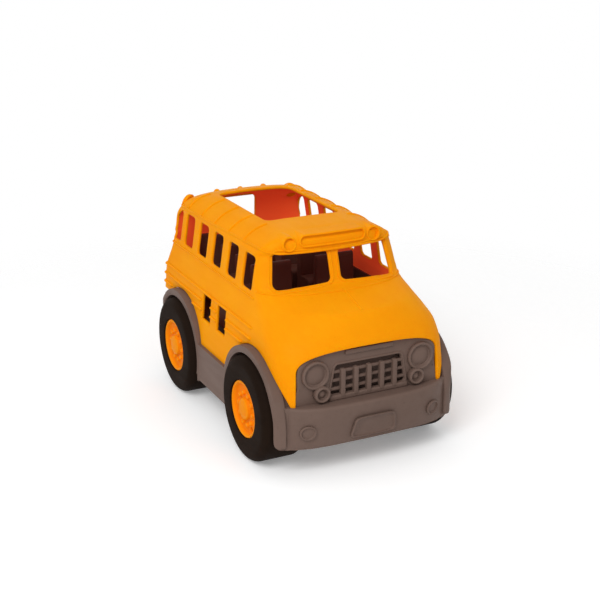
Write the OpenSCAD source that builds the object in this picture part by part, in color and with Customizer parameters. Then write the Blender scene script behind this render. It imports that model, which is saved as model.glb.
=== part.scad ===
// Toy bus for pushing along the floor, in millimetres, +Z up, front towards -Y.
// A one-piece moulded shell sits on a moulded chassis with two free-rolling wheelsets.

/* [Overall] */
// Length over the front bumper and the rear wall
body_len = 263; // [250:1:280]
// Front axle behind the foremost point of the bumper, in fender radii
front_reach = 1.1144; // [1.1:0.0002:1.16]
// Rear axle ahead of the rear wall, in fender radii
rear_reach = 1.0158; // [1:0.0002:1.1]

/* [Wheels] */
// Tyre diameter
tyre_d = 86; // [80:0.5:88]
// Tyre width
tyre_w = 37; // [30:0.5:39]
// Width over the outer tyre walls
track_w = 172; // [168:1:180]
// Radius of the tyre shoulders
tyre_shoulder = 7; // [3:0.5:9]
// Wall of the hollow tyre
tyre_wall = 4; // [3:0.1:5]
// Bevel of the inner tyre edge
inner_edge = 2.5; // [1:0.1:2.8]
// Diameter of the hub seat inside the tyre
hub_d = 44; // [38:0.5:48]
// Width of the flange that laps over the tyre bore
hub_lip = 1.6; // [1:0.1:3]
// Thickness of the hub flange
hub_flange_t = 3; // [2:0.1:4]
// Depth of the dished hub face below the flange
hub_dish = 3.4; // [2:0.1:5]
// Thickness of the hub web
hub_web = 3; // [2:0.1:5]
// Wall of the hub barrel
hub_wall = 2.6; // [2:0.1:4]
// Diameter of the domed hub centre
hub_dome_d = 18; // [14:0.5:21]
// Number of lug bosses on a hub
lug_count = 10; // [6:1:12]
// Diameter of a lug boss
lug_d = 3.8; // [3:0.1:4.4]
// Radius of the circle of lugs
lug_ring = 13.6; // [12:0.1:14]
// Diameter of the moulding recess in the hub face
hub_pip_d = 4.4; // [3:0.1:5]
// Axle diameter
axle_d = 6; // [5:0.1:8]
// Radial running clearance of the axle in the chassis
axle_play = 0.06; // [0.03:0.01:0.1]
// Radial clearance of pressed and plugged seats
seat_play = 0.02; // [0.01:0.01:0.05]
// End float between a hub and its bearing
end_float = 0.5; // [0.3:0.1:1]

/* [Chassis] */
// How far the fenders and sills stand out past the shell
fender_out = 3; // [2:0.5:5]
// Height of the floor underside
floor_z = 27; // [24:0.5:30]
// Thickness of the chassis walls
chassis_wall = 2.6; // [2:0.1:3.2]
// Height of the sill top on which the shell sits
sill_z = 60; // [58:0.5:62]
// Width of the sill ledge inside the shell
sill_ledge = 18; // [15:0.5:21]
// Gap between a tyre and its wheel arch
arch_gap = 2.2; // [1.5:0.1:3]
// Radial height of a fender
fender_h = 5.5; // [4:0.5:6]
// Width of a fender along the axle
fender_t = 10; // [7:0.5:12]
// Gap between a tyre and the inner wall of its well
well_gap = 3; // [2:0.5:5]
// Diameter of a bearing boss
bearing_d = 14; // [11:0.5:17]
// Length of a bearing boss
bearing_len = 14; // [8:0.5:20]
// Height of the bumper underside
bumper_z = 25; // [23:0.5:27]
// Depth of the bumper from front to back
bumper_t = 20; // [17:0.5:22]
// Distance of the bumper ends from the fender faces
bumper_edge = 10; // [7:0.5:13]
// Depth of the rounded bumper corners
bumper_deep = 42; // [38:0.5:45]
// Depth of the rounded chassis corners
plan_deep = 40; // [36:0.5:44]
// Stand-off of the plate and plugs
plate_out = 1.4; // [0.8:0.1:1.6]
// Width of the blank plate on the bumper
plate_w = 37; // [30:0.5:42]
// Height of the blank plate
plate_h = 20; // [16:0.5:23]
// Diameter of the round plugs on the bumper
plug_d = 12.5; // [9:0.5:15]
// Distance of the plugs from the bumper ends
plug_edge = 15; // [13:0.5:20]
// Top of the rear panel
rear_panel_z = 92; // [88:0.5:98]

/* [Body shell] */
// Wall thickness of the shell
shell_wall = 2.5; // [2:0.1:3]
// Half width at the sill
sill_half = 78; // [76:0.5:79]
// Half width at the hip under the windows
hip_half = 73.8; // [72:0.5:75]
// Half width at the window sills
belt_half = 65.6; // [64.5:0.1:67]
// Half width at the roof gutter
gutter_half = 60.5; // [58:0.5:62]
// Height of the hip
hip_z = 104.5; // [103:0.5:107]
// Height of the belt moulding
belt_z = 126.5; // [125:0.5:128]
// Height of the hood at the foot of the windscreen
cowl_z = 136; // [135:0.5:138]
// Height of the roof gutter
gutter_z = 161.5; // [160:0.5:164]
// Rise of the roof above the gutter
roof_rise = 14.5; // [12:0.5:16]
// Squareness of the roof section
roof_square = 5; // [3:0.5:6]
// Foot of the windscreen behind the bumper front
screen_set = 59; // [57:0.5:62]
// Backward lean of the windscreen
screen_rake = 9; // [7:0.5:11]
// Depth of the rounded rear corners
rear_round = 14; // [10:0.5:18]
// Depth of the rounded nose corners
nose_deep = 45; // [42:0.5:48]
// Depth of the rounded windscreen corners
corner_deep = 19; // [16:0.5:24]
// Set-back of the roof crown behind the windscreen
roof_lead = 22; // [16:0.5:26]
// Set-back of the roof crown ahead of the rear wall
roof_tail = 40; // [30:1:50]
// Height of the arched opening in the nose
nose_arch_z = 102.5; // [101:0.5:104]
// Width of the corner beside the arched opening
nose_post = 13.5; // [13:0.1:15]
// Gap around the grille panel and above the fenders
panel_gap = 0.4; // [0.3:0.05:0.6]

/* [Windows and rails] */
// Number of windows on each side
window_count = 6; // [4:1:6]
// Width of the posts between the windows
post_w = 12.6; // [11:0.1:15]
// Amount by which the rearmost window is narrower
last_short = 8; // [4:0.5:9]
// Height of the window sills
window_z = 130.5; // [129.5:0.5:132]
// Height of the windows
window_h = 26.5; // [23:0.5:27]
// Corner radius of the windows
window_r = 3.2; // [1:0.1:5]
// Half width of the post in the middle of the windscreen
screen_post = 4.7; // [4:0.1:7]
// Half width of the rear window
rear_window_half = 17.5; // [14:0.5:20]
// Height of the three rub rails
rail_z = [90, 98, 106];
// Thickness of a rub rail in height
rail_h = 3; // [2:0.1:4]
// Stand-off of the rub rails
rail_out = 1.4; // [0.8:0.1:2]
// Height of the two side slots
slot_h = 23; // [18:0.5:23]
// Width of the two side slots
slot_w = 14.5; // [10:0.5:16]
// Half width of the roof opening
hatch_half = 34; // [30:0.5:36]
// Front edge of the roof opening behind the foot of the windscreen
hatch_set = 60; // [50:1:70]
// Rear edge of the roof opening ahead of the rear wall
hatch_margin = 38; // [30:1:48]
// Width of a roof rib
rib_w = 3; // [2:0.1:4]
// Stand-off of the roof ribs
rib_out = 0.9; // [0.5:0.1:1.5]
// Number of roof ribs
rib_count = 5; // [3:1:6]
// Diameter of the header lamps
lamp_d = 13; // [10:0.5:13.5]
// Distance of the header lamps from the middle
lamp_x = 37.8; // [36:0.2:39]
// Length of the blank sign over the windscreen
sign_len = 59; // [50:0.5:59]
// Height of the blank sign
sign_h = 10.5; // [8:0.5:11]
// Stand-off of the sign and lamp frames
trim_out = 1.6; // [1:0.1:2.2]
// Width of the sign and lamp frames
trim_frame = 1.6; // [1:0.1:2.2]
// Diameter of the small domes over the rear window
marker_d = 6; // [4:0.5:7]
// Distance of the small domes from the rear wall
marker_set = 10; // [8:0.5:12]
// Height of the small domes above the gutter
marker_rise = 7; // [6:0.5:9]
// Spacing of the small domes
marker_x = 23.3; // [16:0.1:26]

/* [Grille panel] */
// Thickness of the panel
panel_t = 2.8; // [2.2:0.1:3.4]
// Panel face behind the bumper front
panel_set = 7; // [6:0.25:8]
// Diameter of the headlamp rings
headlamp_d = 22.8; // [20:0.2:24]
// Diameter of the headlamp lenses
lens_d = 17.3; // [14:0.1:18]
// Distance of the headlamps from the edge of the arched opening
headlamp_edge = 18.2; // [17.5:0.1:19]
// Height of the headlamp centres
headlamp_z = 83.6; // [83:0.1:84]
// Diameter of the lower lamp cups
cup_d = 12; // [10:0.2:12.5]
// Length of the lower lamp cups
cup_len = 5.4; // [3:0.2:6]
// Number of vertical grille bars
bar_count = 5; // [3:2:7]
// Width of a grille bar
bar_w = 4; // [3:0.1:5]
// Stand-off of the grille bars
bar_out = 2.4; // [1.5:0.1:3]
// Number of grille slats behind the bars
slat_count = 3; // [2:1:4]
// Height of a grille slat
slat_h = 2.6; // [2:0.1:3.5]
// Distance of the headlamps from the grille opening at its top
grille_gap_top = 17.7; // [16:0.1:19]
// Distance of the headlamps from the grille opening at its foot
grille_gap_foot = 13.4; // [13:0.1:15]
// Width of a tongue that plugs into the bumper
tongue_w = 10; // [8:0.5:12]
// Length of a tongue
tongue_h = 6; // [4:0.5:8]

/* [Seats] */
// Number of seat rows
seat_rows = 4; // [3:1:4]
// First bench behind the front edge of the first window
bench_set = 19.5; // [12:0.5:24]
// Height of the seat backs above the deck
seat_h = 45; // [40:1:52]
// Height of the cushions above the deck
cushion_h = 19; // [14:0.5:24]
// Leg room between a seat back and the next cushion
leg_room = 9.1; // [8.2:0.1:12]
// Thickness of a seat back
back_t = 6; // [4:0.5:7]
// Wall of the hollow benches
seat_wall = 1.8; // [1.4:0.1:2.2]
// Half width of the aisle
aisle_half = 12; // [8:0.5:14]
// Outer edge of the benches from the middle
bench_half = 47; // [42:0.5:52]
// Gap between the deck and the inside of the shell
deck_gap = 9.3; // [8:0.1:12]
// Thickness of the deck
deck_t = 2.5; // [2:0.1:3.5]

/* [Screws] */
// Shank diameter of the screws
screw_d = 3; // [2.5:0.1:3.5]
// Head diameter of the screws
head_d = 6; // [5:0.1:7]
// Head height of the screws
head_h = 2.2; // [1.6:0.1:3]
// Grip length of the screws
grip = 12; // [9:0.5:14]

/* [Hidden] */
$fn = 64;
corner_steps = 7;
cut = 20;
y_front = -body_len / 2;
y_rear = body_len / 2;
axle_z = tyre_d / 2;
tyre_out = track_w / 2;
tyre_in = tyre_out - tyre_w;
hub_face = tyre_out - 1;
flange_r = hub_d / 2 + hub_lip;
dish_z = hub_face - hub_dish;
axle_end = dish_z - hub_web;
boss_r = axle_d / 2 + 4;
arch_r = tyre_d / 2 + arch_gap;
fender_r = arch_r + fender_h;
axle_y = [y_front + front_reach * fender_r, y_rear - rear_reach * fender_r];
fender_half = sill_half + fender_out;
bumper_half = fender_half - bumper_edge;
plug_x = bumper_half - plug_edge;
well_r = arch_r + chassis_wall;
well_in = tyre_in - well_gap;
well_out = well_in - chassis_wall;
deck_z = axle_z + well_r + panel_gap;
floor_top = floor_z + chassis_wall;
sill_in = sill_half - sill_ledge;
screw_boss_d = screw_d + 5;
screw_x = sill_half - shell_wall - screw_boss_d / 2 + 0.5;
screw_y = (axle_y[0] + axle_y[1]) / 2;
head_hole = head_d + 1;
pad_d = head_hole + 2 * chassis_wall;
pad_z = floor_z + head_h + 0.3;
post_foot = pad_z + chassis_wall;
post_x = well_out - bearing_len - 1.4;
nose_arch_half = sill_half - nose_post;
headlamp_x = nose_arch_half - headlamp_edge;
cup_x = headlamp_x - 4.6;
cup_z = headlamp_z - 15.6;
grille_top = headlamp_x - grille_gap_top;
grille_foot = headlamp_x - grille_gap_foot;
grille_lip = 4.5;
tongue_in = headlamp_x + 2.7 - tongue_w / 2;
tongue_out = tongue_in + tongue_w;
deck_half = hip_half - shell_wall - deck_gap;
panel_y = y_front + panel_set;
chassis_rear = y_rear - shell_wall - panel_gap;
tail_z = hip_z - 21;
rail_end_y = axle_y[0] + 5;

// Windows run from behind the front corner post to the rear corner.
row_start = y_front + screen_set + 24;
row_end = y_rear - rear_round / 2 - 1;
window_pitch = (row_end - row_start + post_w + last_short) / window_count;
window_w = window_pitch - post_w;
cushion_len = window_pitch - back_t - leg_room;
bench_y = [for (k = [0 : seat_rows - 1]) row_start + bench_set + k * window_pitch];
post_y = [for (k = [0, 2]) bench_y[k] + (cushion_len + back_t + window_pitch) / 2];
slot_z = rail_z[2] - slot_h;
hatch_y = y_front + screen_set + hatch_set;
hatch_len = y_rear - hatch_margin - hatch_y;
window_top = window_z + window_h;
sign_z = gutter_z + 8.6;
lamp_z = gutter_z + 7.6;
tail_lamp_x = lamp_x + 8;
tail_lamp_z = gutter_z + 2;

// Body contours from the sill to the roof. Each row holds the height, the half width, the
// foremost and rearmost points, the depth and squareness of the front and rear roundings,
// and how far the surface lies flat (0 for a wall, 1 for a roof).
screen_y = y_front + screen_set;
function hood_y(part) = y_front + part * screen_set;
function row(z, half, front, deep, square, back, flat) =
    [z, half, front, deep, square, back, rear_round, 2.4, flat];
lower_rows = [
    row(sill_z, sill_half, y_front, nose_deep, 4, y_rear, 0),
    row((2 * hip_z + sill_z) / 3, (2 * hip_half + sill_half) / 3, y_front, nose_deep, 3.6, y_rear, 0),
    row(hip_z, hip_half, hood_y(0.051), nose_deep * 1.02, 3, y_rear, 0.3),
    row((hip_z + belt_z) / 2 - 1, (hip_half + belt_half) / 2 + 0.6, hood_y(0.1525), nose_deep * 1.11, 2.6, y_rear, 0.6),
    row(belt_z - 2.7, belt_half + 1.2, hood_y(0.28), nose_deep * 1.27, 2.3, y_rear, 1),
    row(belt_z + 1.3, belt_half + 0.3, hood_y(0.483), nose_deep * 1.13, 2.2, y_rear, 1),
    row(belt_z + 5, belt_half - 0.4, hood_y(0.729), nose_deep * 0.86, 2.2, y_rear, 1),
    row(cowl_z - 0.8, belt_half - 1, screen_y - 0.5, corner_deep * 1.16, 2.4, y_rear - 0.2, 1),
    row(cowl_z + 1.2, belt_half - 1.3, screen_y + 1.6, corner_deep * 1.05, 2.4, y_rear - 0.3, 0.6),
    row(gutter_z - 1.5, gutter_half + 0.3, screen_y + screen_rake + 0.6, corner_deep, 2.4, y_rear - 1.5, 0)
];
// Roof contours from the gutter upwards, with a nearly flat top and round shoulders.
function roof_half(f) = gutter_half * pow(1 - f, 1 / roof_square);
function roof_row(f) = [
    gutter_z + roof_rise * f, roof_half(f),
    screen_y + screen_rake - 1 + roof_lead * pow(f, 4), corner_deep * (1 - 0.42 * f), 2.4,
    y_rear - 2 - roof_tail * pow(f, 3), rear_round * (1 + 0.7 * f), 2.3, 1
];
roof_rows = [for (f = [0, 0.25, 0.5, 0.72, 0.88, 0.97]) roof_row(f)];
shell_rows = concat(lower_rows, roof_rows);
// Body row at any height.
function row_at(z) = [
    for (c = [0 : 8]) c == 0 ? z : lookup(z, [for (r = shell_rows) [r[0], r[c]]])
];

// Quarter of a superellipse from the side (first point) to the end (last point).
function quarter(half, deep, square) = [
    for (i = [0 : corner_steps])
    let (a = 90 * i / corner_steps)
    [half * pow(cos(a), 2 / square), deep * pow(sin(a), 2 / square)]
];
function reversed(p) = [for (i = [len(p) - 1 : -1 : 0]) p[i]];

// Closed plan contour of a body row, moved inwards by a given amount.
function contour(r, inset) =
    let (
        half = r[1] - inset,
        front_c = r[2] + r[3],
        rear_c = r[5] - r[6],
        back = quarter(half, r[6] - inset, r[7]),
        front = quarter(half, r[3] - inset, r[4]),
        back_right = [for (p = back) [p[0], rear_c + p[1]]],
        back_left = [for (i = [corner_steps - 1 : -1 : 0]) [-back[i][0], rear_c + back[i][1]]],
        front_left = [for (p = front) [-p[0], front_c - p[1]]],
        front_right = [for (i = [corner_steps - 1 : -1 : 0]) [front[i][0], front_c - front[i][1]]]
    )
    concat(back_right, back_left, front_left, front_right);

// Solid through a stack of contours of equal length.
module loft(rings, heights) {
    n = len(rings[0]);
    last = len(rings) - 1;
    points = [for (k = [0 : last]) for (p = rings[k]) [p[0], p[1], heights[k]]];
    foot = [[for (i = [0 : n - 1]) i]];
    top = [[for (i = [n - 1 : -1 : 0]) last * n + i]];
    sides = [
        for (k = [0 : last - 1])
        for (i = [0 : n - 1])
        let (j = (i + 1) % n)
        for (t = [[k * n + i, (k + 1) * n + j, k * n + j], [k * n + i, (k + 1) * n + i, (k + 1) * n + j]])
        t
    ];
    polyhedron(points = points, faces = concat(foot, top, sides));
}

// Stack of body rows; a positive inset gives the hollow, a negative one a stand-off.
module body_loft(rows, inset, drop) {
    rings = [for (r = rows) contour(r, inset)];
    heights = [for (i = [0 : len(rows) - 1]) rows[i][0] - inset * rows[i][8] - (i == 0 ? drop : 0)];
    loft(rings, heights);
}

// Polygon with rounded corners from points [x, y, radius], taken anticlockwise.
function corner(p, q, r, n) =
    let (
        a = [p[0] - q[0], p[1] - q[1]] / norm([p[0] - q[0], p[1] - q[1]]),
        b = [r[0] - q[0], r[1] - q[1]] / norm([r[0] - q[0], r[1] - q[1]]),
        half = acos(a * b) / 2,
        reach = q[2] / tan(half),
        start = [q[0], q[1]] + a * reach,
        mid = (a + b) / norm(a + b),
        centre = [q[0], q[1]] + mid * (q[2] / sin(half)),
        first = atan2(start[1] - centre[1], start[0] - centre[0]),
        sweep = 180 - 2 * half
    )
    [for (i = [0 : n]) centre + q[2] * [cos(first + sweep * i / n), sin(first + sweep * i / n)]];
function rounded(pts, n = 5) = [
    for (i = [0 : len(pts) - 1])
    each corner(pts[(i + len(pts) - 1) % len(pts)], pts[i], pts[(i + 1) % len(pts)], n)
];
function box_points(x0, y0, x1, y1, r) = [[x0, y0, r], [x1, y0, r], [x1, y1, r], [x0, y1, r]];

// Extrusions along the three axes.
module along_x(x0, x1) translate([x0, 0, 0]) rotate([90, 0, 90]) linear_extrude(x1 - x0) children();
module along_y(y0, y1) translate([0, y1, 0]) rotate([90, 0, 0]) linear_extrude(y1 - y0) children();
module along_z(z0, z1) translate([0, 0, z0]) linear_extrude(z1 - z0) children();
module rod_x(x0, x1, y, z, d) translate([x0, y, z]) rotate([0, 90, 0]) cylinder(d = d, h = x1 - x0);
module rod_y(y0, y1, x, z, d) translate([x, y1, z]) rotate([90, 0, 0]) cylinder(d = d, h = y1 - y0);
module rod_z(z0, z1, x, y, d) translate([x, y, z0]) cylinder(d = d, h = z1 - z0);
module block(x0, x1, y0, y1, z0, z1) translate([x0, y0, z0]) cube([x1 - x0, y1 - y0, z1 - z0]);
module both_sides() {
    children();
    mirror([1, 0, 0]) children();
}

// Arched outline of the nose opening, shared by the shell and the grille panel.
function arch_points(gap) =
    let (
        half = nose_arch_half - gap,
        shoulder = half - 3,
        spring = nose_arch_z - 18,
        crown = quarter(shoulder, 18 - gap, 2.8),
        right = [for (p = crown) [p[0], spring + p[1]]],
        left = [for (i = [corner_steps - 1 : -1 : 0]) [-crown[i][0], spring + crown[i][1]]]
    )
    concat([[half, sill_z]], right, left, [[-half, sill_z]]);

// Shell: outer skin with rails, ribs, sign and lamps, hollowed and pierced.
module side_window(k) {
    y0 = row_start + k * window_pitch;
    last = k == window_count - 1;
    y1 = last ? row_end : y0 + window_w;
    far_r = last ? y1 - y0 - window_r - 1 : window_r;
    along_x(-sill_half - cut, sill_half + cut)
    polygon(rounded([
        [y0, window_z, window_r], [y1, window_z, window_r],
        [y1, window_top, far_r], [y0, window_top, window_r]
    ]));
}
module screen_pane() {
    along_y(screen_y - cut, screen_y + 2 * cut)
    polygon(rounded([
        [screen_post - 0.3, cowl_z + 0.9, 3.5], [belt_half - 11.6, cowl_z - 3, 5],
        [gutter_half - 10.5, gutter_z - 2.2, 5], [screen_post + 0.3, gutter_z - 1.6, 3.5]
    ]));
}
module side_slot(k) {
    y0 = row_start + k * window_pitch;
    along_x(-sill_half - cut, sill_half + cut)
    polygon(rounded(box_points(y0, slot_z, y0 + slot_w, slot_z + slot_h, 1), 2));
}
module roof_hatch() {
    along_z(gutter_z, gutter_z + 2 * cut)
    polygon(rounded(box_points(-hatch_half, hatch_y, hatch_half, hatch_y + hatch_len, 7)));
}
module rear_window() {
    along_y(y_rear - cut, y_rear + cut)
    polygon(rounded(box_points(-rear_window_half, window_z, rear_window_half, window_top + 5, 5)));
}
module stand_off_band(z, h, out, start) {
    intersection() {
        along_z(z - h / 2, z + h / 2) polygon(contour(row_at(z), -out));
        block(-sill_half - cut, sill_half + cut, start, y_rear + cut, z - h, z + h);
    }
}
module roof_rib(y) {
    steps = 8;
    reach = gutter_half - 4;
    over = [for (i = [-steps : steps]) let (x = reach * i / steps) [x, rib_z(x) + rib_out]];
    under = [for (i = [steps : -1 : -steps]) let (x = reach * i / steps) [x, rib_z(x) - shell_wall / 2]];
    along_y(y, y + rib_w) polygon(concat(reversed(over), reversed(under)));
}
function rib_z(x) = gutter_z + roof_rise * (1 - pow(abs(x) / gutter_half, roof_square));
module header_skin(out) {
    rows = [for (i = [9 : 14]) shell_rows[i]];
    body_loft(rows, -out, 0);
}
module sign_face(grow) {
    half = sign_len / 2 - sign_h / 2;
    block(-half, half, y_front, screen_y + cut, sign_z - sign_h / 2 - grow, sign_z + sign_h / 2 + grow);
    both_sides() rod_y(y_front, screen_y + cut, half, sign_z, sign_h + 2 * grow);
}
module trim_faces(grow) {
    sign_face(grow);
    both_sides() rod_y(y_front, screen_y + cut, lamp_x, lamp_z, lamp_d + 2 * grow);
    both_sides() rod_y(y_rear - cut, y_rear + cut, tail_lamp_x, tail_lamp_z, lamp_d + 2 * grow);
}
module shell_trim() {
    intersection() {
        header_skin(trim_out);
        difference() {
            trim_faces(0);
            trim_faces(-trim_frame);
        }
    }
    for (x = [-marker_x, 0, marker_x]) translate([x, y_rear - marker_set, gutter_z + marker_rise])
        sphere(d = marker_d);
}
module shell_skin() {
    difference() {
        union() {
            body_loft(shell_rows, 0, 0);
            for (z = rail_z) stand_off_band(z, rail_h, rail_out, rail_end_y);
            stand_off_band(belt_z, rail_h / 2, rail_out / 2, row_start - post_w);
            stand_off_band(gutter_z - 1.2, rail_h / 2, rail_out / 2, y_front);
            for (k = [0 : rib_count - 1])
                roof_rib(hatch_y - 8 + k * (hatch_len + 12) / (rib_count - 1));
            shell_trim();
        }
        body_loft(shell_rows, shell_wall, 1);
        along_y(y_front - cut, y_front + cut) polygon(arch_points(0));
        for (k = [0 : window_count - 1]) side_window(k);
        both_sides() screen_pane();
        for (k = [1, 2]) side_slot(k);
        roof_hatch();
        rear_window();
        both_sides() for (y = axle_y) rod_x(well_in, sill_half + cut, y, axle_z, 2 * (fender_r + panel_gap));
        block(-sill_half - cut, sill_half + cut, axle_y[1], y_rear + cut, sill_z - cut, tail_z);
    }
}
module body_shell() color("orange") {
    difference() {
        union() {
            shell_skin();
            both_sides() rod_z(sill_z, sill_z + grip + 3, screw_x, screw_y, screw_boss_d);
        }
        both_sides() rod_z(sill_z - 1, sill_z + grip + 1, screw_x, screw_y, screw_d + 2 * seat_play);
    }
}

// Grille panel: arched plate with lamps, open grille and tongues in the bumper.
module grille_hole() {
    z0 = sill_z + grille_lip;
    z1 = headlamp_z + 4.6;
    along_y(panel_y - cut, panel_y + cut)
    polygon(rounded([
        [-grille_foot, z0, 2], [grille_foot, z0, 2], [grille_top, z1, 2], [-grille_top, z1, 2]
    ], 3));
}
module grille_panel() color("rosybrown") {
    back = panel_y + panel_t;
    bar_pitch = 2 * grille_top / bar_count;
    slat_pitch = (headlamp_z - sill_z) / (slat_count + 0.4);
    difference() {
        union() {
            along_y(panel_y, back) polygon(arch_points(panel_gap));
            both_sides() rod_y(panel_y - 2.4, back, headlamp_x, headlamp_z, headlamp_d);
            both_sides() rod_y(panel_y - cup_len, back, cup_x, cup_z, cup_d);
            block(-grille_foot - 2, grille_foot + 2, panel_y - 2, back, sill_z, sill_z + grille_lip);
            block(-20, 20, panel_y - 0.8, back, nose_arch_z - 5, nose_arch_z - 1);
        }
        grille_hole();
        both_sides() rod_y(panel_y - cut, panel_y - 1, headlamp_x, headlamp_z, lens_d);
        both_sides() rod_y(panel_y - cut, panel_y - 1, cup_x, cup_z, cup_d - 4.8);
    }
    for (k = [0 : slat_count - 1])
        block(-grille_foot - 1, grille_foot + 1, panel_y + 0.6, back,
            sill_z + 7.5 + k * slat_pitch, sill_z + 7.5 + slat_h + k * slat_pitch);
    for (k = [0 : bar_count - 1])
        block((k - (bar_count - 1) / 2) * bar_pitch - bar_w / 2, (k - (bar_count - 1) / 2) * bar_pitch + bar_w / 2,
            panel_y - bar_out, panel_y + 1.4, sill_z + 2, headlamp_z + 1.6);
    both_sides() block(tongue_in, tongue_out, panel_y, back, sill_z - tongue_h, sill_z + 1);
}

// Chassis: floor, sills, wheel wells with fenders, bumper and rear panel.
function chassis_plan(inset) =
    contour([0, fender_half, y_front + 4.5, plan_deep, 6, chassis_rear, plan_deep, 6, 0], inset);
function bumper_plan(inset) =
    contour([0, fender_half, y_front, bumper_deep, 3.8, y_front + bumper_deep + bumper_t, 4, 8, 0], inset);
module chassis_ends() {
    inner = bumper_half - chassis_wall;
    panel = well_out - chassis_wall;
    block(-bumper_half, bumper_half, y_front, y_front + bumper_t, bumper_z, sill_z);
    difference() {
        union() {
            block(-bumper_half, bumper_half, chassis_rear - bumper_t, chassis_rear, floor_z, sill_z);
            intersection() {
                along_z(floor_z, rear_panel_z)
                polygon(contour(row_at(rear_panel_z), shell_wall + panel_gap));
                block(-well_out, well_out, chassis_rear - bumper_t, chassis_rear, floor_z, rear_panel_z);
            }
        }
        block(-panel, panel, chassis_rear - 2 * bumper_t, chassis_rear - chassis_wall,
            floor_top, rear_panel_z - chassis_wall);
        block(-inner, inner, chassis_rear - 2 * bumper_t, chassis_rear - chassis_wall,
            floor_top, sill_z - chassis_wall);
    }
}
module chassis_hull() {
    intersection() {
        along_z(bumper_z, 2 * sill_z) polygon(chassis_plan(0));
        union() {
            both_sides() block(sill_in, fender_half, axle_y[0], axle_y[1], floor_z, sill_z);
            block(-fender_half, fender_half, axle_y[0], axle_y[1], floor_z, floor_top);
            block(-well_out, well_out, y_front, chassis_rear, floor_z, floor_top);
            both_sides() for (y = axle_y) {
                rod_x(well_out, fender_half, y, axle_z, 2 * well_r);
                rod_x(fender_half - fender_t, fender_half, y, axle_z, 2 * fender_r);
            }
            both_sides() for (y = post_y) rod_z(floor_z, post_foot, post_x, y, pad_d);
            chassis_ends();
        }
    }
    intersection() {
        along_z(bumper_z, sill_z) polygon(bumper_plan(0));
        block(-bumper_half, bumper_half, y_front, y_front + bumper_t, bumper_z, sill_z);
    }
    intersection() {
        along_z(bumper_z, sill_z) polygon(bumper_plan(-plate_out));
        union() {
            along_y(y_front - cut, y_front + cut) polygon(rounded([
                [-plate_w / 2, bumper_z + 1, 1.5], [plate_w / 2, bumper_z + 1, 1.5],
                [plate_w / 2 - 2, bumper_z + plate_h, 4], [2 - plate_w / 2, bumper_z + plate_h, 4]
            ]));
            both_sides() rod_y(y_front - cut, y_front + cut, plug_x, bumper_z + 13.5, plug_d);
        }
    }
}
module chassis() color("dimgray") {
    difference() {
        chassis_hull();
        both_sides() block(sill_in + chassis_wall, fender_half - chassis_wall,
            axle_y[0], axle_y[1], floor_z - cut, sill_z - chassis_wall);
        both_sides() for (y = axle_y) {
            rod_x(well_in, fender_half + cut, y, axle_z, 2 * arch_r);
            block(well_in, fender_half + cut, y - arch_r, y + arch_r, bumper_z - cut, axle_z - 12);
        }
        intersection() {
            along_z(bumper_z + chassis_wall, sill_z - chassis_wall) polygon(bumper_plan(chassis_wall));
            block(-well_out + 1, well_out - 1, y_front, y_front + bumper_t + cut, bumper_z, sill_z);
        }
        both_sides() block(tongue_in - seat_play, tongue_out + seat_play, panel_y - seat_play,
            panel_y + panel_t + seat_play, sill_z - tongue_h - seat_play, sill_z + 1);
        both_sides() rod_z(sill_z - cut, sill_z + 1, screw_x, screw_y, screw_d + 0.6);
        both_sides() for (y = post_y) {
            rod_z(floor_z - 1, post_foot + 1, post_x, y, screw_d + 0.6);
            rod_z(floor_z - 1, pad_z, post_x, y, head_hole);
        }
        for (y = axle_y) rod_x(-well_in - 1, well_in + 1, y, axle_z, axle_d + 2 * axle_play);
    }
    both_sides() for (y = axle_y) difference() {
        rod_x(well_out - bearing_len, well_out + 1, y, axle_z, bearing_d);
        rod_x(well_out - bearing_len - 1, well_in + 1, y, axle_z, axle_d + 2 * axle_play);
    }
}

// Seat deck: tray over the wheel wells with two columns of benches on hanging posts.
module bench(y, inset) {
    top = deck_z + deck_t - inset;
    foot = inset > 0 ? deck_z - 1 : top - 1;
    back_y = y + cushion_len + inset;
    rear_y = y + cushion_len + back_t - inset;
    along_x(aisle_half + inset, bench_half - inset)
    polygon(rounded([
        [y + inset, foot, 0.1], [rear_y, foot, 0.1], [rear_y, top + seat_h, 2.5 - inset],
        [back_y + 0.6, top + seat_h, 2.4 - inset], [back_y - 1, top + cushion_h, 0.1],
        [y + inset, top + cushion_h, 4 - inset]
    ], 4));
}
module seat_deck() color("saddlebrown") {
    deck_rear = chassis_rear - bumper_t - 1;
    difference() {
        union() {
            block(-deck_half, deck_half, row_start - post_w, deck_rear, deck_z, deck_z + deck_t);
            both_sides() for (y = bench_y) bench(y, 0);
        }
        both_sides() for (y = bench_y) bench(y, seat_wall);
    }
    both_sides() for (y = post_y) difference() {
        rod_z(post_foot, deck_z + 1, post_x, y, screw_boss_d);
        rod_z(post_foot - 1, pad_z + grip + 1, post_x, y, screw_d + 2 * seat_play);
    }
}

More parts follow.
